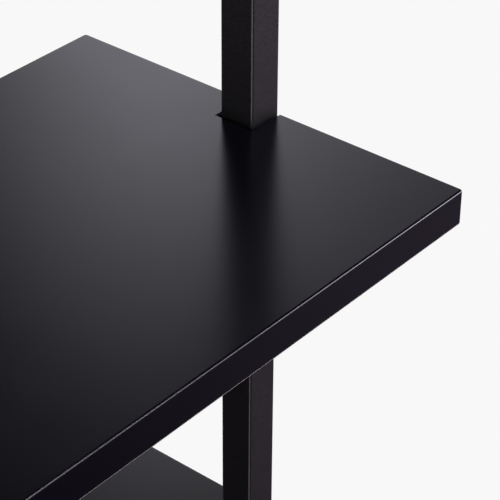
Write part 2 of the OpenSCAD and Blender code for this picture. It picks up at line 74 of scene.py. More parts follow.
def make_camera():
    post_low, post_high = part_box("post_right")
    post_width = post_high.y - post_low.y
    board_low, board_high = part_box("top_board")
    corner = Vector((board_high.x, board_low.y, board_high.z))
    heading, down, roll = map(math.radians, (CAMERA_HEADING, CAMERA_DOWN, CAMERA_ROLL))
    level = math.cos(down)
    forward = Vector((math.cos(heading) * level, math.sin(heading) * level, -math.sin(down)))
    level_right = Vector((math.sin(heading), -math.cos(heading), 0))
    level_up = level_right.cross(forward)
    right = level_right * math.cos(roll) + level_up * math.sin(roll)
    up = level_up * math.cos(roll) - level_right * math.sin(roll)
    camera = bpy.data.objects.new("camera", bpy.data.cameras.new("camera"))
    camera.data.lens = CAMERA_LENS
    camera.data.sensor_width = CAMERA_SENSOR
    camera.data.shift_x, camera.data.shift_y = CAMERA_SHIFT
    camera.data.clip_start, camera.data.clip_end = CAMERA_CLIP
    turn = Matrix((right, up, -forward)).transposed().to_4x4()
    camera.matrix_world = Matrix.Translation(corner + post_width * CAMERA_OFFSET) @ turn
    bpy.context.scene.collection.objects.link(camera)
    bpy.context.scene.camera = camera


# ---------- node helpers ----------


class Nodes:
    """A short way to add and link shader nodes."""

    def __init__(self, tree):
        self.tree = tree
        tree.nodes.clear()

    def add(self, kind, **values):
        node = self.tree.nodes.new("ShaderNode" + kind)
        for name, value in values.items():
            setattr(node, name, value)
        return node

    def put(self, socket, value):
        if isinstance(value, bpy.types.NodeSocket):
            self.tree.links.new(value, socket)
        else:
            socket.default_value = value

    def math(self, operation, *values):
        node = self.add("Math", operation=operation)
        for socket, value in zip(node.inputs, values):
            self.put(socket, value)
        return node.outputs[0]

    def map_range(self, value, from_min, from_max, to_min, to_max, kind="LINEAR"):
        node = self.add("MapRange", interpolation_type=kind)
        for name, v in (("Value", value), ("From Min", from_min), ("From Max", from_max),
                        ("To Min", to_min), ("To Max", to_max)):
            self.put(node.inputs[name], v)
        return node.outputs["Result"]

    def noise(self, place, scale, detail=2.0, roughness=0.5):
        node = self.add("TexNoise")
        self.put(node.inputs["Vector"], place)
        node.inputs["Scale"].default_value = scale
        node.inputs["Detail"].default_value = detail
        node.inputs["Roughness"].default_value = roughness
        return node.outputs["Fac"]

    def mix_color(self, factor, a, b):
        node = self.add("Mix", data_type="RGBA")
        self.put(node.inputs["Factor"], factor)
        for socket, color in ((node.inputs[6], a), (node.inputs[7], b)):
            self.put(socket, color if isinstance(color, bpy.types.NodeSocket) else (*color, 1))
        return node.outputs[2]

    def split(self, vector):
        node = self.add("SeparateXYZ")
        self.put(node.inputs[0], vector)
        return node.outputs["X"], node.outputs["Y"], node.outputs["Z"]

    def stretch(self, place, scale):
        node = self.add("Mapping")
        self.put(node.inputs["Vector"], place)
        node.inputs["Scale"].default_value = scale
        return node.outputs[0]

    def band(self, value, rise, fall):
        """1 between the two ranges, 0 outside them."""
        return self.math("MULTIPLY", self.map_range(value, *rise, 0, 1), self.map_range(value, *fall, 1, 0))


# ---------- stage ----------

# How bright the background and the floor are to the camera
BACKDROP = 0.939
# What the object sees of the room: lighter along the horizon than above
HORIZON_GLOW = 0.42
SKY_GLOW = 0.02
HORIZON_FADE = (0.06, 0.36)


def make_world():
    """Plain white behind the object, but a dim room to light it and to be reflected in it."""
    world = bpy.data.worlds.new("studio")
    bpy.context.scene.world = world
    world.use_nodes = True
    n = Nodes(world.node_tree)
    glow = n.add("Background")
    seen = n.add("LightPath").outputs["Is Camera Ray"]
    height = n.split(n.add("TexCoord").outputs["Generated"])[2]
    room = n.map_range(height, *HORIZON_FADE, HORIZON_GLOW, SKY_GLOW, "SMOOTHSTEP")
    n.put(glow.inputs["Strength"], n.map_range(seen, 0, 1, room, BACKDROP))
    glow.inputs["Color"].default_value = (1, 1, 1, 1)
    n.put(n.add("OutputWorld").inputs["Surface"], glow.outputs[0])


def make_plane(name, corners, material):
    mesh = bpy.data.meshes.new(name)
    mesh.from_pydata(corners, [], [(0, 1, 2, 3)])
    mesh.materials.append(material)
    o = bpy.data.objects.new(name, mesh)
    bpy.context.scene.collection.objects.link(o)
    return o


FLOOR_SIZE = 30
# A soft contact shadow this wide lies under the feet
FLOOR_SHADOW = 0.05
FLOOR_SHADOW_POWER = 1.5
# What the object sees of the floor. It is dim in front of the table, and brighter to the right, behind on the
# right, at the front left, under the table and far off. Each rise or fall is the range of places, in metres,
# over which that part grows or fades.
FLOOR_DIM = 0.04
FLOOR_RIGHT = 0.16
FLOOR_RIGHT_RISE = (0.3, 1.1)
FLOOR_BEHIND = 0.20
FLOOR_BEHIND_RISE = (0.1, 0.7)
FLOOR_LEFT = 0.26
FLOOR_LEFT_RISE = (0.0, -0.8)
FLOOR_FRONT_RISE = (-0.4, -0.9)
FLOOR_UNDER = 0.5
FLOOR_UNDER_X_FALL = (0.2, 0.48)
FLOOR_UNDER_Y_FALL = (0.05, 0.22)
FLOOR_FAR = 0.32
FLOOR_FAR_RISE = (1.4, 3.2)
FLOOR_TINT = (1.0, 0.80, 1.04)


def floor_bounce(n, place):
    """How strongly the floor lights the object, and shows in it, at each place."""
    x, y, _ = n.split(place)
    reach = n.add("VectorMath", operation="LENGTH")
    n.put(reach.inputs[0], place)
    right = n.map_range(x, *FLOOR_RIGHT_RISE, FLOOR_DIM, FLOOR_RIGHT, "SMOOTHSTEP")
    rightwards = n.map_range(x, *FLOOR_RIGHT_RISE, 0, 1, "SMOOTHSTEP")
    behind = n.map_range(y, *FLOOR_BEHIND_RISE, 0, FLOOR_BEHIND, "SMOOTHSTEP")
    left = n.map_range(x, *FLOOR_LEFT_RISE, 0, FLOOR_LEFT, "SMOOTHSTEP")
    front = n.map_range(y, *FLOOR_FRONT_RISE, 0, 1, "SMOOTHSTEP")
    under_x = n.map_range(n.math("ABSOLUTE", x), *FLOOR_UNDER_X_FALL, 1, 0, "SMOOTHSTEP")
    under_y = n.map_range(n.math("ABSOLUTE", y), *FLOOR_UNDER_Y_FALL, FLOOR_UNDER, 0, "SMOOTHSTEP")
    far = n.map_range(reach.outputs["Value"], *FLOOR_FAR_RISE, 0, FLOOR_FAR, "SMOOTHSTEP")
    total = n.math("ADD", right, far)
    for a, b in ((behind, rightwards), (left, front), (under_x, under_y)):
        total = n.math("ADD", total, n.math("MULTIPLY", a, b))
    return total


def make_floor():
    """White to the camera with a contact shadow, dim to the object, and not there when seen from below."""
    m = bpy.data.materials.new("floor")
    m.use_nodes = True
    n = Nodes(m.node_tree)
    shade = n.add("AmbientOcclusion", samples=12)
    shade.inputs["Distance"].default_value = FLOOR_SHADOW
    glow = n.add("Emission")
    contact = n.math("POWER", shade.outputs["AO"], FLOOR_SHADOW_POWER)
    n.put(glow.inputs["Strength"], n.math("MULTIPLY", contact, BACKDROP))
    bounce = n.add("Emission")
    bounce.inputs["Color"].default_value = (*FLOOR_TINT, 1)
    n.put(bounce.inputs["Strength"], floor_bounce(n, n.add("TexCoord").outputs["Object"]))
    seen = n.add("LightPath").outputs["Is Camera Ray"]
    from_below = n.math("MULTIPLY", seen, n.add("NewGeometry").outputs["Backfacing"])
    mix = n.add("MixShader")
    n.put(mix.inputs[0], seen)
    n.put(mix.inputs[1], bounce.outputs[0])
    n.put(mix.inputs[2], glow.outputs[0])
    gone = n.add("MixShader")
    n.put(gone.inputs[0], from_below)
    n.put(gone.inputs[1], mix.outputs[0])
    n.put(gone.inputs[2], n.add("BsdfTransparent").outputs[0])
    n.put(n.add("OutputMaterial").inputs["Surface"], gone.outputs[0])
    s = FLOOR_SIZE / 2
    make_plane("floor", [(-s, -s, 0), (s, -s, 0), (s, s, 0), (-s, s, 0)], m)


# The big soft light behind the right end is what the boards' lacquer mirrors. A dimmer one behind the
# left end does the same for someone who stands at the front right. The headings are in degrees.
PANELS = {
    "panel_right": {"heading": 41, "distance": 3.7, "glow": 2.25, "foot": 0.15, "fade_up": (2.0, 4.02),
                    "fade_left": (-0.90, 0.0), "right": 3.2},
    "panel_left": {"heading": 140, "distance": 3.7, "glow": 0.8, "foot": 1.2, "fade_up": (1.8, 3.6),
                   "fade_left": (-2.6, 0.2), "right": 3.2},
}
PANEL_TINT = (1.0, 0.98, 1.09)
PANEL_RIGHT_POWER = 3.5


def make_panel(name, heading, distance, glow, foot, fade_up, fade_left, right):
    """A standing light whose glow fades upwards and to both sides. Its own X runs to the right, Y up."""
    m = bpy.data.materials.new(name)
    m.use_nodes = True
    n = Nodes(m.node_tree)
    across, up, _ = n.split(n.add("TexCoord").outputs["Object"])
    lower = n.map_range(up, *fade_up, 1, 0, "SMOOTHSTEP")
    leftwards = n.map_range(across, *fade_left, 0, 1, "SMOOTHSTEP")
    rightwards = n.math("POWER", n.map_range(across, 0, right, 1, 0), PANEL_RIGHT_POWER)
    shine = n.add("Emission")
    shine.inputs["Color"].default_value = (*PANEL_TINT, 1)
    sides = n.math("MULTIPLY", leftwards, rightwards)
    n.put(shine.inputs["Strength"], n.math("MULTIPLY", n.math("MULTIPLY", lower, sides), glow))
    n.put(n.add("OutputMaterial").inputs["Surface"], shine.outputs[0])
    left, top = fade_left[0], fade_up[1]
    panel = make_plane(name, [(left, foot, 0), (right, foot, 0), (right, top, 0), (left, top, 0)], m)
    turn = math.radians(heading)
    away = Vector((math.cos(turn), math.sin(turn), 0))
    sideways = Vector((math.sin(turn), -math.cos(turn), 0))
    board_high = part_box("top_board")[1]
    middle = Vector((math.copysign(board_high.x, away.x), board_high.y, 0)) + away * distance
    facing = Matrix((sideways, Vector((0, 0, 1)), -away)).transposed().to_4x4()
    panel.matrix_world = Matrix.Translation(middle) @ facing
    panel.visible_camera = False


def make_light(name, place, aim, size, power, color, mirrored=True):
    light = bpy.data.lights.new(name, "AREA")
    light.shape = "RECTANGLE"
    light.size, light.size_y = size
    light.energy = power
    light.color = color
    o = bpy.data.objects.new(name, light)
    o.visible_camera = False
    o.visible_glossy = mirrored
    o.location = place
    o.rotation_euler = (Vector(aim) - Vector(place)).to_track_quat("-Z", "Y").to_euler()
    bpy.context.scene.collection.objects.link(o)


# Soft lights: the key high in front, a dim one at the front right that draws the bright line along the
# board's front edge, the fill behind on the left, and a low one behind for the back and the undersides,
# which is not mirrored because it would show on the shelf. The power is in watts.
LIGHTS = {
    "key": {"place": (0.9, -2.7, 2.6), "aim": (0.2, -0.1, 0.4), "size": (1.6, 1.6), "power": 90,
            "color": (1.0, 0.95, 1.02)},
    "edge_light": {"place": (2.29, -1.46, 0.95), "aim": (0.25, -0.19, 0.45), "size": (1.0, 1.8), "power": 4.4,
                   "color": (1.0, 0.97, 1.04)},
    "fill": {"place": (-1.3, 1.3, 2.2), "aim": (0.4, 0, 0.5), "size": (1.6, 1.6), "power": 4.5,
             "color": (1.0, 0.93, 0.93)},
    "back_light": {"place": (0.8, 1.2, 0.22), "aim": (0.1, -0.1, 0.45), "size": (1.2, 0.35), "power": 4,
                   "color": (1.0, 0.97, 0.98), "mirrored": False},
}


def make_lights():
    for name, light in LIGHTS.items():
        make_light(name, **light)


# ---------- materials ----------

# Most of a noise node's values lie in this range
NOISE_SPAN = (0.3, 0.7)


def start_material(name):
    m = bpy.data.materials.new(name)
    m.use_nodes = True
    n = Nodes(m.node_tree)
    shader = n.add("BsdfPrincipled")
    n.put(n.add("OutputMaterial").inputs["Surface"], shader.outputs[0])
    place = n.add("TexCoord").outputs["Object"]
    return m, n, shader, place


def add_bump(n, shader, height, strength, distance):
    bump = n.add("Bump")
    bump.inputs["Strength"].default_value = strength
    bump.inputs["Distance"].default_value = distance
    n.put(bump.inputs["Height"], height)
    n.put(shader.inputs["Normal"], bump.outputs[0])


LACQUER_DARK = (0.0006, 0.0005, 0.0026)
LACQUER_LIGHT = (0.0012, 0.0010, 0.0044)
LACQUER_ROUGHNESS = (0.21, 0.25)
LACQUER_PEEL = 0.01
# A painted highlight runs along the eased top edges and fades towards the left end as painted light falloff.
# It is partly a metallic band that mirrors the lights and partly painted light colour. A thin painted
# highlight runs along the lower edges. Each covers a range of the surface's slope, which is how far its
# normal points up.
EDGE_HIGHLIGHT_COLOR = (0.72, 0.69, 0.77)
EDGE_HIGHLIGHT_RISE, EDGE_HIGHLIGHT_FALL = (0.42, 0.50), (0.58, 0.66)
EDGE_HIGHLIGHT_FADE = (-0.04, 0.3)
EDGE_HIGHLIGHT_LEAST = 0.05
LOW_EDGE_HIGHLIGHT = (0.60, 0.58, 0.60)
# Painted highlight along the lower eased edges
LOW_EDGE_HIGHLIGHT_RISE, LOW_EDGE_HIGHLIGHT_FALL = (-0.52, -0.42), (-0.22, -0.12)


def lacquer():
    """Satin black lacquer: almost flat, with a faint cloudiness and orange peel, and painted highlight lines
    along its eased edges.
    """
    m, n, shader, place = start_material("black_lacquer")
    cloud = n.noise(place, 9, 4)
    grain = n.noise(place, 700, 3)
    up = n.split(n.add("TexCoord").outputs["Normal"])[2]
    line = n.band(up, EDGE_HIGHLIGHT_RISE, EDGE_HIGHLIGHT_FALL)
    # Painted highlight colour on the top edge band, fading towards the left end
    bright = n.math("MULTIPLY", line, n.map_range(n.split(place)[0], *EDGE_HIGHLIGHT_FADE, EDGE_HIGHLIGHT_LEAST, 1))
    color = n.mix_color(cloud, LACQUER_DARK, LACQUER_LIGHT)
    # Painted highlight along the lower eased edges
    color = n.mix_color(n.band(up, LOW_EDGE_HIGHLIGHT_RISE, LOW_EDGE_HIGHLIGHT_FALL), color, LOW_EDGE_HIGHLIGHT)
    n.put(shader.inputs["Base Color"], n.mix_color(bright, color, EDGE_HIGHLIGHT_COLOR))
    n.put(shader.inputs["Metallic"], line)
    rough = n.map_range(cloud, *NOISE_SPAN, *LACQUER_ROUGHNESS)
    peel = n.map_range(grain, *NOISE_SPAN, -LACQUER_PEEL, LACQUER_PEEL)
    n.put(shader.inputs["Roughness"], n.math("ADD", rough, peel))
    shader.inputs["IOR"].default_value = 1.5
    add_bump(n, shader, grain, 0.02, 0.0001)
    return m


POWDER_DARK = (0.017, 0.0145, 0.017)
POWDER_LIGHT = (0.033, 0.029, 0.034)
POWDER_ROUGHNESS = (0.42, 0.50)
# How much of the grain is fine specks, the rest is a coarser mottle drawn out sideways
POWDER_SPECKS = 0.45
POWDER_SPAN = (0.36, 0.64)
# Painted highlight and painted shade on the posts' corners: a light line next to a dark one. Painted shade
# also darkens the colour close to another part.
CORNER_HIGHLIGHT = (0.23, 0.21, 0.23)
PAINTED_SHADE = (0.004, 0.004, 0.005)
CORNER_TURN = (0.992, 0.955)
CORNER_SPLIT = (-0.1, 0.1)
CONTACT_REACH = 14 * MM
CONTACT_OPEN = (0.45, 1)


def add_painted_corner_lines(n, color):
    """Painted highlight and painted shade: where the surface turns from one side of the tube to the next, one
    half is painted light and one half painted dark.
    """
    turn = n.add("VectorMath", operation="ABSOLUTE")
    n.put(turn.inputs[0], n.add("TexCoord").outputs["Normal"])
    x, y, _ = n.split(turn.outputs[0])
    edge = n.map_range(n.math("MAXIMUM", x, y), *CORNER_TURN, 0, 1)
    light = n.map_range(n.math("SUBTRACT", x, y), *CORNER_SPLIT, 0, 1)
    color = n.mix_color(n.math("MULTIPLY", edge, light), color, CORNER_HIGHLIGHT)
    return n.mix_color(n.math("MULTIPLY", edge, n.math("SUBTRACT", 1, light)), color, PAINTED_SHADE)


# Painted shade: the colour darkens where another part is near
def add_contact_shade(n, color):
    near = n.add("AmbientOcclusion", samples=8)
    near.inputs["Distance"].default_value = CONTACT_REACH
    return n.mix_color(n.map_range(near.outputs["AO"], *CONTACT_OPEN, 1, 0), color, PAINTED_SHADE)


def powder_coat(name, painted_light=False):
    """Textured black powder coat. On the posts a painted highlight line beside a painted shade line runs
    along the corners of the tube, and painted shade darkens it close to other parts."""
    m, n, shader, place = start_material(name)
    speck = n.noise(place, 1100, 3, 0.6)
    mottle = n.noise(n.stretch(place, (1, 1, 2.5)), 210, 3, 0.6)
    cloud = n.noise(place, 25, 3)
    fine = n.math("MULTIPLY", speck, POWDER_SPECKS)
    coarse = n.math("MULTIPLY", mottle, 1 - POWDER_SPECKS)
    grain = n.map_range(n.math("ADD", fine, coarse), *POWDER_SPAN, 0, 1)
    color = n.mix_color(grain, POWDER_DARK, POWDER_LIGHT)
    # Painted highlight and painted shade on the corners, and painted shade near other parts
    if painted_light:
        color = add_contact_shade(n, add_painted_corner_lines(n, color))
    n.put(shader.inputs["Base Color"], color)
    n.put(shader.inputs["Roughness"], n.map_range(cloud, *NOISE_SPAN, *POWDER_ROUGHNESS))
    add_bump(n, shader, grain, 0.30, 0.0003)
    return m


def plain_plastic(name, dark, light, rough, scale=300, bump=0.15):
    """Moulded plastic or rubber, cloudy between two colours, with specks of the given scale."""
    m, n, shader, place = start_material(name)
    speck = n.noise(place, scale, 3)
    n.put(shader.inputs["Base Color"], n.mix_color(n.noise(place, 30, 3), dark, light))
    n.put(shader.inputs["Roughness"], n.map_range(speck, *NOISE_SPAN, rough - 0.06, rough + 0.06))
    add_bump(n, shader, speck, bump, 0.0002)
    return m


VINYL_DARK = (0.010, 0.010, 0.011)
VINYL_LIGHT = (0.017, 0.016, 0.017)


def ribbed_vinyl(name):
    """Soft dipped vinyl with fine ribs across the lever."""
    m, n, shader, place = start_material(name)
    ribs = n.add("TexWave", wave_type="BANDS", bands_direction="X")
    n.put(ribs.inputs["Vector"], place)
    ribs.inputs["Scale"].default_value = 110
    ribs.inputs["Distortion"].default_value = 0.3
    n.put(shader.inputs["Base Color"], n.mix_color(n.noise(place, 60, 3), VINYL_DARK, VINYL_LIGHT))
    n.put(shader.inputs["Roughness"], n.map_range(ribs.outputs["Fac"], 0, 1, 0.62, 0.48))
    add_bump(n, shader, ribs.outputs["Fac"], 0.5, 0.0006)
    return m


def metal(name, dark, light, rough, metallic=1.0):
    """Bare or plated metal with a fine brushed grain."""
    m, n, shader, place = start_material(name)
    brushed = n.noise(n.stretch(place, (1, 1, 6)), 500, 4, 0.6)
    n.put(shader.inputs["Base Color"], n.mix_color(n.noise(place, 60, 3), dark, light))
    n.put(shader.inputs["Roughness"], n.map_range(brushed, *NOISE_SPAN, rough - 0.08, rough + 0.08))
    shader.inputs["Metallic"].default_value = metallic
    add_bump(n, shader, brushed, 0.08, 0.0001)
    return m


def make_materials():
    return {
        "black_lacquer": lacquer(),
        "board_back": plain_plastic("board_back", (0.030, 0.029, 0.031), (0.045, 0.043, 0.046), 0.6, 500),
        "black_steel": powder_coat("black_steel"),
        "post_painted_light": powder_coat("post_painted_light", painted_light=True),
        "lever_vinyl": ribbed_vinyl("lever_vinyl"),
        "black_plastic": plain_plastic("black_plastic", (0.010, 0.010, 0.011), (0.018, 0.018, 0.019), 0.55),
        "zinc": metal("zinc", (0.42, 0.43, 0.46), (0.60, 0.61, 0.63), 0.34),
        "grey_steel": metal("grey_steel", (0.06, 0.06, 0.065), (0.11, 0.11, 0.115), 0.48, 0.6),
        "rubber": plain_plastic("rubber", (0.008, 0.008, 0.008), (0.016, 0.016, 0.016), 0.8, 900),
        "nylon": plain_plastic("nylon", (0.62, 0.60, 0.52), (0.74, 0.72, 0.64), 0.42),
        "spring_cylinder": plain_plastic("spring_cylinder", (0.012, 0.012, 0.014), (0.02, 0.02, 0.022), 0.22,
                                         120),
        "rod_chrome": metal("rod_chrome", (0.70, 0.70, 0.72), (0.80, 0.80, 0.82), 0.12),
        "cable_sheath": plain_plastic("cable_sheath", (0.007, 0.007, 0.007), (0.014, 0.014, 0.014), 0.45,
                                      600, 0.05),
    }


# ---------- mesh helpers ----------

# Points of a mesh closer than this are one point
SAME_POINT = 0.001 * MM
NORMALS_WEIGHT = 80


def add_piece(bm, name, slot, body, *nodes, extra=()):
    """Turns bm into a smooth-shaded piece with the material of a slot, and with those that extra names.
    It rides on a body, if one is given, in place of the CAD nodes."""
    for f in bm.faces:
        f.smooth = True
    mesh = bpy.data.meshes.new(name)
    bm.to_mesh(mesh)
    bm.free()
    for material in (slot, *extra):
        mesh.materials.append(materials[material])
    o = bpy.data.objects.new(name, mesh)
    bpy.context.scene.collection.objects.link(o)
    if body:
        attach(o, body)
    if nodes:
        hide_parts(*nodes)
    return o


def weigh_normals(o):
    """Keeps the flat faces flat and shades only the eased edges between them."""
    normals = o.modifiers.new("normals", "WEIGHTED_NORMAL")
    normals.weight = NORMALS_WEIGHT
    normals.keep_sharp = True


def cad_copy(node):
    """The CAD node's surface with its triangles joined into flat faces."""
    bm = bmesh.new()
    bm.from_mesh(frame["nodes"][node].data)
    bmesh.ops.remove_doubles(bm, verts=bm.verts, dist=SAME_POINT)
    bmesh.ops.dissolve_limit(bm, angle_limit=math.radians(1), verts=bm.verts, edges=bm.edges)
    return bm


def sharp_edges(bm, least=35):
    """The edges at which the surface turns by more than least, in degrees."""
    return [e for e in bm.edges if len(e.link_faces) == 2 and e.calc_face_angle(0) > math.radians(least)]


def make_eased(node, width, segments=2):
    """The CAD node again with its sharp edges eased, as paint, pressing or moulding leaves them."""
    bm = cad_copy(node)
    bmesh.ops.bevel(bm, geom=sharp_edges(bm), offset=width, segments=segments, profile=0.5,
                    affect="EDGES", clamp_overlap=True)
    weigh_normals(add_piece(bm, node + "_eased", SLOTS[node], BODIES[node], node))


def ring(count, radius, z, sides=0):
    """Points round the Z axis, on a circle, or on a polygon whose flats are at that radius."""
    points = []
    for i in range(count):
        a = 2 * math.pi * i / count
        reach = radius
        if sides:
            part = 2 * math.pi / sides
            reach = radius / math.cos((a + part / 2) % part - part / 2)
        points.append(Vector((reach * math.cos(a), reach * math.sin(a), z)))
    return points


def loft(bm, rings, place=Matrix.Identity(4)):
    """A closed skin through rings of equally many points, with flat ends."""
    made = [[bm.verts.new(place @ p) for p in points] for points in rings]
    count = len(made[0])
    for a, b in zip(made, made[1:]):
        for i in range(count):
            bm.faces.new((a[i], a[(i + 1) % count], b[(i + 1) % count], b[i]))
    bm.faces.new(made[0][::-1])
    bm.faces.new(made[-1])


def turn_to(axis):
    """The turn that takes +Z to the given axis."""
    return Vector((0, 0, 1)).rotation_difference(Vector(axis)).to_matrix().to_4x4()


def sweep(bm, points, radius, sides=12):
    """A round wire along points. radius is a number, or a function of the share of the length."""
    points = [Vector(p) for p in points]
    ahead = (points[1] - points[0]).normalized()
    across = ahead.orthogonal().normalized()
    rings = []
    for i, p in enumerate(points):
        along = (points[min(i + 1, len(points) - 1)] - points[max(i - 1, 0)]).normalized()
        across = (ahead.rotation_difference(along) @ across).normalized()
        ahead = along
        up = along.cross(across)
        r = radius(i / (len(points) - 1)) if callable(radius) else radius
        turns = [2 * math.pi * k / sides for k in range(sides)]
        rings.append([p + r * (math.cos(a) * across + math.sin(a) * up) for a in turns])
    loft(bm, rings)


def between(points, step):
    """Extra points along straight lines, no further apart than step."""
    out = [Vector(points[0])]
    for a, b in zip(points, points[1:]):
        a, b = Vector(a), Vector(b)
        count = max(1, math.ceil((b - a).length / step))
        out += [a.lerp(b, k / count) for k in range(1, count + 1)]
    return out


# ---------- boards ----------

EASED_EDGE = 1.9 * MM
CORNER_RADIUS = 3 * MM
# The gap between a board's notch and the post
TOP_GAP = 1.5 * MM
SHELF_GAP = 0.4 * MM


def make_board(node, gap):
    """A board with its end notches, its corners rounded and all its edges eased."""
    low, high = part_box(node)
    post_low, post_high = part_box("post_right")
    notch_x = post_low.x - gap
    notch_y = post_high.y + gap
    outline = []
    for side in (RIGHT, LEFT):
        corner = [(high.x, low.y), (high.x, -notch_y), (notch_x, -notch_y),
                  (notch_x, notch_y), (high.x, notch_y), (high.x, high.y)]
        if side == LEFT:
            corner = [(-x, -y) for x, y in corner]
        outline += corner
    bm = bmesh.new()
    bottom = bm.faces.new([bm.verts.new((x, y, low.z)) for x, y in outline])
    thick = high.z - low.z
    moved = bmesh.ops.extrude_face_region(bm, geom=[bottom])["geom"]
    upper = [v for v in moved if isinstance(v, bmesh.types.BMVert)]
    bmesh.ops.translate(bm, vec=(0, 0, thick), verts=upper)
    bmesh.ops.recalc_face_normals(bm, faces=bm.faces)
    upright = [e for e in bm.edges if abs(e.verts[0].co.z - e.verts[1].co.z) > thick / 2]
    corners = [e for e in upright if abs(abs(e.verts[0].co.y) - high.y) < SAME_POINT]
    bmesh.ops.bevel(bm, geom=corners, offset=CORNER_RADIUS, segments=6, profile=0.5, affect="EDGES")
    bmesh.ops.bevel(bm, geom=sharp_edges(bm), offset=EASED_EDGE, segments=5, profile=0.5, affect="EDGES")
    bm.normal_update()
    for f in bm.faces:
        faces_down = f.normal.z < -0.99
        f.material_index = int(faces_down)
    o = add_piece(bm, node + "_eased", "black_lacquer", BODIES[node], node, extra=["board_back"])
    weigh_normals(o)


# ---------- frame ----------

WELD_RADIUS = 1.7 * MM
WELD_PITCH = 2.6 * MM
WELD_SUNK = 0.4 * MM
# Points along one ripple, how deep the ripples are, and how the bead thins at its ends
WELD_STEPS = 4
WELD_RIPPLE = 0.14
WELD_TAPER = 12
WELD_END = 0.35


def make_welds(name, body, paths):
    """Rippled weld beads, half sunk in the corners between the tubes."""
    bm = bmesh.new()
    for path in paths:
        points = between(path, WELD_PITCH / WELD_STEPS)
        ripples = (len(points) - 1) / WELD_STEPS

        def swell(share):
            ends = min(1, WELD_TAPER * min(share, 1 - share) + WELD_END)
            wave = abs(math.sin(math.pi * share * ripples))
            return WELD_RADIUS * ends * (1 - WELD_RIPPLE + WELD_RIPPLE * wave)

        sweep(bm, points, swell, 8)
    add_piece(bm, name, "black_steel", body)


def weld_under(x, low, high, short):
    """Down one side of a tube's end, along its underside and up the other side, stopping short of its top."""
    front, back = low.y - WELD_SUNK, high.y + WELD_SUNK
    bottom, top = low.z - WELD_SUNK, high.z - short
    return [(x, front, top), (x, front, bottom), (x, back, bottom), (x, back, top)]


def weld_paths():
    """Round the rails' ends, beside the carriages on the arms, and round the base beam's ends."""
    lift, base = [], []
    for side, s in SIDES.items():
        arm_low, arm_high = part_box("top_arm_" + side)
        inner, outer = (arm_low.x, arm_high.x)[::s]
        for rail in ("rail_front", "rail_back"):
            lift.append(weld_under(inner - s * WELD_SUNK, *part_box(rail), 1.5 * MM))
        carriage_low, carriage_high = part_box("carriage_" + side)
        beside = (carriage_high.x - carriage_low.x) / 2 + WELD_SUNK
        for end in (-1, 1):
            lift.append([(outer + s * WELD_SUNK, end * beside, z)
                         for z in (arm_low.z + 2 * MM, arm_high.z - 2 * MM)])
        beam_low, beam_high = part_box("base_beam")
        beam_end = beam_high.x if s == RIGHT else beam_low.x
        base.append(weld_under(beam_end - s * WELD_SUNK, beam_low, beam_high, 2 * MM))
    return lift, base


# ---------- fasteners, feet, release ----------


# The radius of a cap screw's hexagonal socket, as a share of its head's radius
SOCKET = 0.52
M5_SHANK = 2.5 * MM
CAP_HEAD = 4 * MM
# The collar screws' heads rest on the clamping ears, at this distance from the post's middle
COLLAR_EAR = 8 * MM
COLLAR_SCREW = 18 * MM
HEAD_BOLT_RADIUS = 4.25 * MM
# The spacers reach from the springs' heads almost to the carriages' outer faces
SPACER_START = 10.5 * MM
SPACER_SHORT = 2 * MM
SPACER_RADIUS = 3.6 * MM
SPACER_EDGE = 0.2 * MM


def socket_screw(bm, place, head_r, head_h, shank_r, shank_l):
    """A cap screw: its head stands on z = 0 and upwards, with a hexagonal socket, its shank below."""
    count = 36
    socket = SOCKET * head_r
    edge, lead = 0.5 * MM, 0.25 * MM
    rings = [ring(count, 0.7 * shank_r, -shank_l), ring(count, shank_r, -shank_l + 0.5 * shank_r),
             ring(count, shank_r, 0), ring(count, head_r, 0), ring(count, head_r, head_h - edge),
             ring(count, head_r - 0.3 * edge, head_h - 0.3 * edge), ring(count, head_r - edge, head_h),
             ring(count, socket + lead, head_h, 6), ring(count, socket, head_h - lead, 6),
             ring(count, socket, 0.45 * head_h, 6), ring(count, 0.5 * socket, 0.35 * head_h)]
    loft(bm, rings, place)


def post_middle(side):
    low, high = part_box("post_right")
    return side * (low.x + high.x) / 2


def make_collar_screws():
    bm = bmesh.new()
    low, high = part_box("collar_screws")
    for side in SIDES.values():
        seat = (post_middle(side) - COLLAR_EAR, (low.y + high.y) / 2, (low.z + high.z) / 2)
        place = Matrix.Translation(seat) @ turn_to((-1, 0, 0))
        socket_screw(bm, place, (high.y - low.y) / 2, CAP_HEAD, M5_SHANK, COLLAR_SCREW)
    weigh_normals(add_piece(bm, "collar_cap_screws", "zinc", "base", "collar_screws"))


def make_head_bolts():
    """Cap screws through the posts' slots, each with a spacer between the spring's head and the carriage."""
    bm = bmesh.new()
    low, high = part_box("head_bolts")
    carriage_low, carriage_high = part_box("carriage_right")
    seat = high.y - CAP_HEAD
    length = (carriage_high.x - carriage_low.x) / 2 - SPACER_SHORT - SPACER_START
    narrow = SPACER_RADIUS - SPACER_EDGE
    spacer = [ring(24, narrow, 0), ring(24, SPACER_RADIUS, SPACER_EDGE),
              ring(24, SPACER_RADIUS, length - SPACER_EDGE), ring(24, narrow, length)]
    backwards = turn_to((0, 1, 0))
    for side in SIDES.values():
        for z in (low.z + HEAD_BOLT_RADIUS, high.z - HEAD_BOLT_RADIUS):
            x = post_middle(side)
            place = Matrix.Translation((x, seat, z)) @ backwards
            socket_screw(bm, place, HEAD_BOLT_RADIUS, CAP_HEAD, M5_SHANK, seat - low.y)
            loft(bm, spacer, Matrix.Translation((x, SPACER_START, z)) @ backwards)
    weigh_normals(add_piece(bm, "head_cap_screws", "zinc", "lift_top", "head_bolts"))


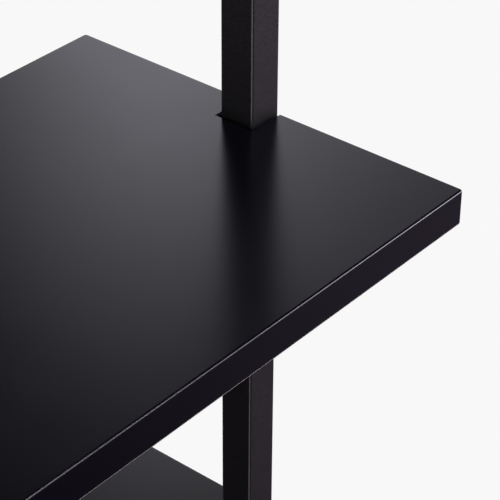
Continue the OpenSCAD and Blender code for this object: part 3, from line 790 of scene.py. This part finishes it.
# A levelling foot's pad from the floor up, as shares of its radius and of its height: a rolled rim, a groove
# and a raised boss round the stud
PAD_PROFILE = [(0.90, 0.0), (0.97, 0.04), (1.0, 0.14), (1.0, 0.34), (0.985, 0.40), (0.955, 0.43),
               (0.985, 0.46), (0.99, 0.54), (0.97, 0.62), (0.90, 0.70), (0.78, 0.84), (0.72, 0.96),
               (0.68, 1.0), (0.62, 1.0)]


def make_foot_pads():
    for end in ("front", "back"):
        for side in SIDES:
            node = f"foot_pad_{end}_{side}"
            low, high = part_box(node)
            radius = (high.x - low.x) / 2
            place = Matrix.Translation(((low.x + high.x) / 2, (low.y + high.y) / 2, 0))
            bm = bmesh.new()
            loft(bm, [ring(48, radius * a, high.z * b) for a, b in PAD_PROFILE], place)
            weigh_normals(add_piece(bm, node + "_moulded", "rubber", BODIES[node], node))


SPRING_WIRE = 0.65 * MM
SPRING_TURNS = 5
SPRING_STEPS = 24
BRACKET_PLATE = 3 * MM
# How far below the shaft the front leg hooks round the crank, and how long the rear leg's foot is
SPRING_HOOK = 9.5 * MM
SPRING_FOOT = 6 * MM


def make_lever_spring():
    """A wound return spring. Its front leg hooks round the crank and turns with it, its rear leg bears
    on the bracket's plate."""
    low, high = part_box("lever_spring")
    crank_low, crank_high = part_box("lever_crank")
    crank_y = (crank_low.y + crank_high.y) / 2
    r = (high.x - low.x) / 2 - SPRING_WIRE
    axis_z = (low.z + high.z) / 2
    y0, y1 = low.y + SPRING_WIRE, high.y - SPRING_WIRE
    plate_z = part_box("lever_bracket")[1].z - BRACKET_PLATE
    count = SPRING_TURNS * SPRING_STEPS
    coil = []
    for i in range(count + 1):
        a = 2 * math.pi * i / SPRING_STEPS
        coil.append((r * math.cos(a), y0 + (y1 - y0) * i / count, axis_z + r * math.sin(a)))
    hook_z = axis_z - SPRING_HOOK
    front = [(r, crank_y, hook_z), (r, y0 - 1 * MM, hook_z), (r, y0, hook_z + 1 * MM),
             (r, y0, axis_z - 4 * MM)]
    bend = 1.2 * MM
    foot_z = plate_z - SPRING_WIRE
    back = [(r, y1, axis_z + 6 * MM), (r, y1, plate_z - bend - 1 * MM), (r + bend, y1, foot_z),
            (r + SPRING_FOOT, y1, foot_z)]
    bm = bmesh.new()
    sweep(bm, between(front, 1 * MM) + coil + between(back, 1 * MM), SPRING_WIRE, 10)
    o = add_piece(bm, "lever_coil_spring", "zinc", None, "lever_spring")
    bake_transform(o)


# Rounding thins the cables a little, so they are swollen by this much first
CABLE_SWELL = 0.15 * MM


def make_cables():
    """The CAD cables again, but round."""
    for side in SIDES:
        node = "cable_" + side
        bm = bmesh.new()
        bm.from_mesh(frame["nodes"][node].data)
        bmesh.ops.remove_doubles(bm, verts=bm.verts, dist=SAME_POINT)
        bmesh.ops.join_triangles(bm, faces=bm.faces, cmp_seam=False, cmp_sharp=False, cmp_uvs=False,
                                 cmp_vcols=False, cmp_materials=False,
                                 angle_face_threshold=math.radians(30),
                                 angle_shape_threshold=math.radians(50))
        bm.normal_update()
        for v in bm.verts:
            v.co += v.normal * CABLE_SWELL
        o = add_piece(bm, node + "_sheath", "cable_sheath", "lift_top", node)
        smooth = o.modifiers.new("round", "SUBSURF")
        smooth.levels = smooth.render_levels = 2


# The dipped grip's share of the lever's length
GRIP_SHARE = 0.55
HANDLE_EDGE = 1.1 * MM


def make_handle():
    """The pressed lever with eased edges and a dipped vinyl grip over its outer part."""
    node = "lever_handle"
    low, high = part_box(node)
    grip_x = low.x + GRIP_SHARE * (high.x - low.x)
    bm = cad_copy(node)
    bmesh.ops.bevel(bm, geom=sharp_edges(bm), offset=HANDLE_EDGE, segments=4, profile=0.5, affect="EDGES",
                    clamp_overlap=True)
    everything = list(bm.verts) + list(bm.edges) + list(bm.faces)
    bmesh.ops.bisect_plane(bm, geom=everything, plane_co=(grip_x, 0, 0), plane_no=(1, 0, 0))
    for f in bm.faces:
        f.material_index = int(f.calc_center_median().x < grip_x)
    o = add_piece(bm, "lever_handle_dipped", "black_steel", BODIES[node], node, extra=["lever_vinyl"])
    weigh_normals(o)


def finish_cad_nodes():
    """Every CAD node gets the material of its slot, and the posts their own, with painted corner lines and
    painted shade.
    """
    for name, o in frame["nodes"].items():
        look = "post_painted_light" if name in ("post_left", "post_right") else SLOTS[name]
        o.data.materials.clear()
        o.data.materials.append(materials[look])


SLOTS = {s["node"]: s["material_slot"] for s in frame["record"]["subparts"]}
BODIES = {node: body for body, nodes in frame["record"]["behaviour"]["bodies"].items() for node in nodes}
# How far the edges of these nodes are eased, in millimetres
EASED = {
    "foot_bar_left": 0.5, "foot_bar_right": 0.5, "foot_bar_caps": 0.8, "base_beam": 0.5,
    "post_cap_left": 1.0, "post_cap_right": 1.0, "top_arm_left": 0.5, "top_arm_right": 0.5,
    "rail_front": 0.5, "rail_back": 0.5, "carriage_left": 0.5, "carriage_right": 0.5,
    "stop_collar_left": 0.6, "stop_collar_right": 0.6, "bumper_left": 0.6, "bumper_right": 0.6,
    "lever_bracket": 0.5, "lever_crank": 0.5, "release_crank_left": 0.4, "release_crank_right": 0.4,
    "spring_head_left": 0.5, "spring_head_right": 0.5, "cable_clips": 1.0, "foot_nuts": 0.5,
    "foot_stud_front_left": 0.4, "foot_stud_front_right": 0.4,
    "foot_stud_back_left": 0.4, "foot_stud_back_right": 0.4,
}

make_camera()
make_world()
make_floor()
for name, panel in PANELS.items():
    make_panel(name, **panel)
make_lights()
materials = make_materials()
finish_cad_nodes()
make_board("top_board", TOP_GAP)
make_board("lower_shelf", SHELF_GAP)
for node, width in EASED.items():
    make_eased(node, width * MM)
lift_welds, base_welds = weld_paths()
make_welds("lift_welds", "lift_top", lift_welds)
make_welds("base_welds", "base", base_welds)
make_collar_screws()
make_head_bolts()
make_foot_pads()
make_lever_spring()
make_cables()
make_handle()
bpy.context.scene.view_settings.view_transform = "Standard"
